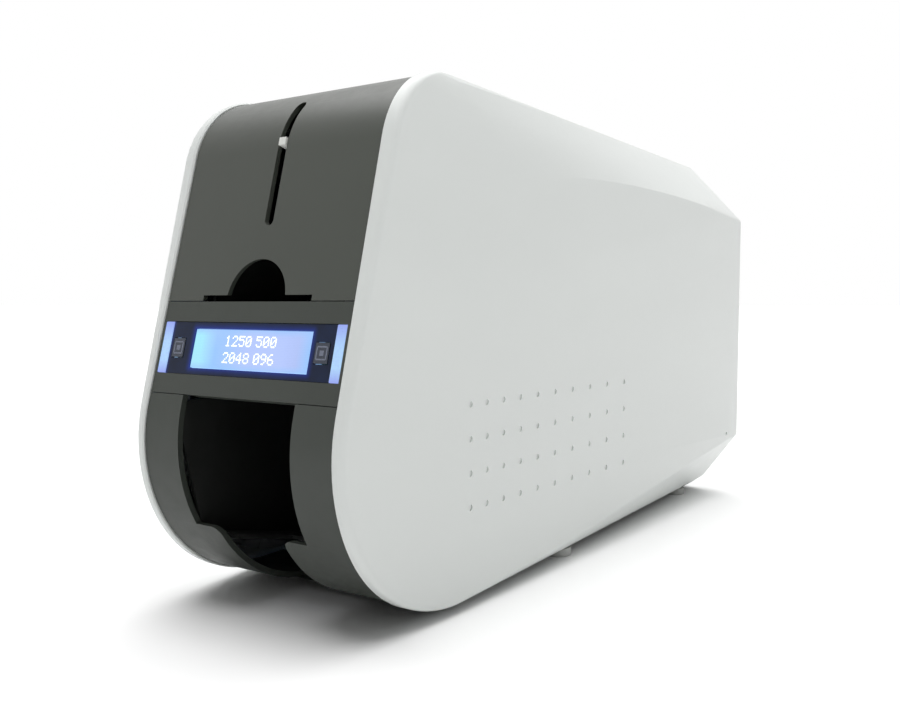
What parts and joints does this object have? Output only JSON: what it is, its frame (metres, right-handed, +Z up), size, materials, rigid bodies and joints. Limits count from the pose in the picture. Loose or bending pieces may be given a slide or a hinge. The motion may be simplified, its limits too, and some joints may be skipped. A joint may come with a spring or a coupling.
{
  "type": "id card printer",
  "caption": "Narrow upright card printer: grey strip with hopper door, display bezel and open stacker between two white shells that flare to the back; works inside.",
  "frame": {"origin": "middle of the bounding box footprint, on the surface that the feet stand on", "axes": "+X to the right seen from behind the camera at the front, +Y from the display to the back panel, +Z up"},
  "size_m": [0.173, 0.373, 0.218],
  "materials": {
    "white_shell": "satin white moulding",
    "grey_casing": "fine grained dark grey moulding",
    "window": "glossy dark navy",
    "screen": "backlit display",
    "light_guide": "lit translucent bar",
    "black_tray": "matte black moulding",
    "weight_plastic": "pale moulding",
    "board": "green solder mask",
    "bright_steel": "ground steel",
    "plated_sheet": "zinc plated sheet",
    "roller_rubber": "matte rubber",
    "foot_rubber": "pale grey rubber",
    "clean_rubber": "tacky blue rubber",
    "pulley_plastic": "natural moulding",
    "motor_case": "black motor can",
    "bronze": "sintered bronze",
    "cassette_plastic": "green moulding",
    "ribbon_film": "colour panel film",
    "head_ceramic": "glazed heater bar"
  },
  "bodies": {
    "chassis": {"right_side_shell": "white_shell", "left_side_shell": "white_shell", "base_pan": "grey_casing", "rear_panel": "grey_casing", "hinge_pins": "bright_steel", "front_bezel": "grey_casing", "display_window": "window", "lcd_module": "screen", "light_bars": "light_guide", "display_board": "board", "output_frame": "grey_casing", "output_bin": "black_tray", "hopper_tray": "black_tray", "guide_rods": "bright_steel", "left_frame_plate": "plated_sheet", "right_frame_plate": "plated_sheet", "tie_bars": "bright_steel", "pick_belt": "roller_rubber", "main_motor": "motor_case", "drive_belt": "roller_rubber", "ribbon_cassette": "cassette_plastic", "ribbon_web": "ribbon_film", "main_board": "board", "fan_frame": "black_tray", "usb_port": "bright_steel", "dc_inlet": "black_tray", "feet": "foot_rubber", "roller_bushes": "bronze", "screws": "bright_steel"},
    "door": {"hopper_door": "grey_casing"},
    "cover": {"top_cover": "grey_casing"},
    "left_key": {"left_button": "window"},
    "right_key": {"right_button": "window"},
    "weight": {"card_weight": "weight_plastic"},
    "pick_roller": {"pick_shaft": "bright_steel", "pick_tyre": "roller_rubber", "pick_pulley": "pulley_plastic"},
    "feed_roller": {"feed_shaft": "bright_steel", "feed_tyre": "roller_rubber", "feed_pulleys": "pulley_plastic"},
    "exit_rollers": {"exit_roller": "roller_rubber", "exit_pulley": "pulley_plastic"},
    "platen": {"platen_shaft": "bright_steel", "platen_tyre": "roller_rubber", "platen_pulley": "pulley_plastic"},
    "rear_roller": {"rear_shaft": "bright_steel", "rear_tyre": "roller_rubber", "rear_pulley": "pulley_plastic"},
    "cleaner": {"cleaning_roller": "clean_rubber"},
    "idler": {"rear_idler": "roller_rubber"},
    "rotor": {"motor_pulley": "pulley_plastic"},
    "supply": {"supply_spool": "pulley_plastic", "supply_roll": "ribbon_film"},
    "take_up": {"take_up_spool": "pulley_plastic"},
    "head": {"head_bracket": "plated_sheet", "print_head": "head_ceramic"},
    "cams": {"camshaft": "pulley_plastic"},
    "gate": {"card_gate": "black_tray"},
    "fan": {"fan_impeller": "black_tray"},
    "rocker": {"power_switch": "black_tray"}
  },
  "joints": [
    {"name": "door_hinge", "type": "hinge", "parent": "chassis", "child": "door", "pos_m": [0, -0.1175, 0.211], "axis": [-1, 0, 0], "range_deg": [0, 80]},
    {"name": "cover_hinge", "type": "hinge", "parent": "chassis", "child": "cover", "pos_m": [0, 0.1725, 0.211], "axis": [-1, 0, 0], "range_deg": [0, 65]},
    {"name": "left_press", "type": "slide", "parent": "chassis", "child": "left_key", "axis": [0, 0.966, -0.2586], "range_m": [0, 0.0006], "stiffness_N_per_m": 300, "springref_m": -0.001},
    {"name": "right_press", "type": "slide", "parent": "chassis", "child": "right_key", "axis": [0, 0.966, -0.2586], "range_m": [0, 0.0006], "stiffness_N_per_m": 300, "springref_m": -0.001},
    {"name": "weight_slide", "type": "slide", "parent": "chassis", "child": "weight", "axis": [0, -0.2586, -0.966], "range_m": [0, 0.027]},
    {"name": "motor_turn", "type": "hinge", "parent": "chassis", "child": "rotor", "pos_m": [0, 0.0135, 0.055], "axis": [1, 0, 0], "continuous": true},
    {"name": "pick_turn", "type": "hinge", "parent": "chassis", "child": "pick_roller", "pos_m": [0, -0.13235, 0.10922], "axis": [1, 0, 0], "continuous": true},
    {"name": "feed_turn", "type": "hinge", "parent": "chassis", "child": "feed_roller", "pos_m": [0, -0.0465, 0.0945], "axis": [1, 0, 0], "continuous": true},
    {"name": "exit_turn", "type": "hinge", "parent": "chassis", "child": "exit_rollers", "pos_m": [0, -0.0735, 0.086], "axis": [1, 0, 0], "continuous": true},
    {"name": "platen_turn", "type": "hinge", "parent": "chassis", "child": "platen", "pos_m": [0, 0.0135, 0.094], "axis": [1, 0, 0], "continuous": true},
    {"name": "rear_turn", "type": "hinge", "parent": "chassis", "child": "rear_roller", "pos_m": [0, 0.0755, 0.0945], "axis": [1, 0, 0], "continuous": true},
    {"name": "cleaner_turn", "type": "hinge", "parent": "chassis", "child": "cleaner", "pos_m": [0, -0.0465, 0.109], "axis": [1, 0, 0], "continuous": true},
    {"name": "idler_turn", "type": "hinge", "parent": "chassis", "child": "idler", "pos_m": [0, 0.0755, 0.109], "axis": [1, 0, 0], "continuous": true},
    {"name": "supply_turn", "type": "hinge", "parent": "chassis", "child": "supply", "pos_m": [0, 0.0585, 0.148], "axis": [1, 0, 0], "continuous": true},
    {"name": "take_up_turn", "type": "hinge", "parent": "chassis", "child": "take_up", "pos_m": [0, -0.0285, 0.146], "axis": [1, 0, 0], "continuous": true},
    {"name": "cam_turn", "type": "hinge", "parent": "chassis", "child": "cams", "pos_m": [0, 0.0035, 0.128], "axis": [1, 0, 0], "range_deg": [0, 133]},
    {"name": "head_lower", "type": "hinge", "parent": "chassis", "child": "head", "pos_m": [0, -0.0365, 0.118], "axis": [-1, 0, 0], "range_deg": [0, 3.9]},
    {"name": "gate_tip", "type": "hinge", "parent": "chassis", "child": "gate", "pos_m": [0, -0.0605, 0.097], "axis": [-1, 0, 0], "range_deg": [0, 8], "stiffness_Nm_per_rad": 0.02, "springref_deg": -8.59},
    {"name": "fan_turn", "type": "hinge", "parent": "chassis", "child": "fan", "pos_m": [-0.015, 0.178, 0.05], "axis": [0, 1, 0], "continuous": true},
    {"name": "switch_rock", "type": "hinge", "parent": "chassis", "child": "rocker", "pos_m": [0.022, 0.179, 0.096], "axis": [1, 0, 0], "range_deg": [0, 12]}
  ],
  "couplings": [
    {"joint": "pick_turn", "follows": "platen_turn", "ratio": 1.0556},
    {"joint": "feed_turn", "follows": "platen_turn", "ratio": 1.0556},
    {"joint": "exit_turn", "follows": "platen_turn", "ratio": 1.3571},
    {"joint": "motor_turn", "follows": "platen_turn", "ratio": 1.5833},
    {"joint": "rear_turn", "follows": "platen_turn", "ratio": 1.0556},
    {"joint": "head_lower", "follows": "cam_turn", "ratio": 0.029323}
  ]
}
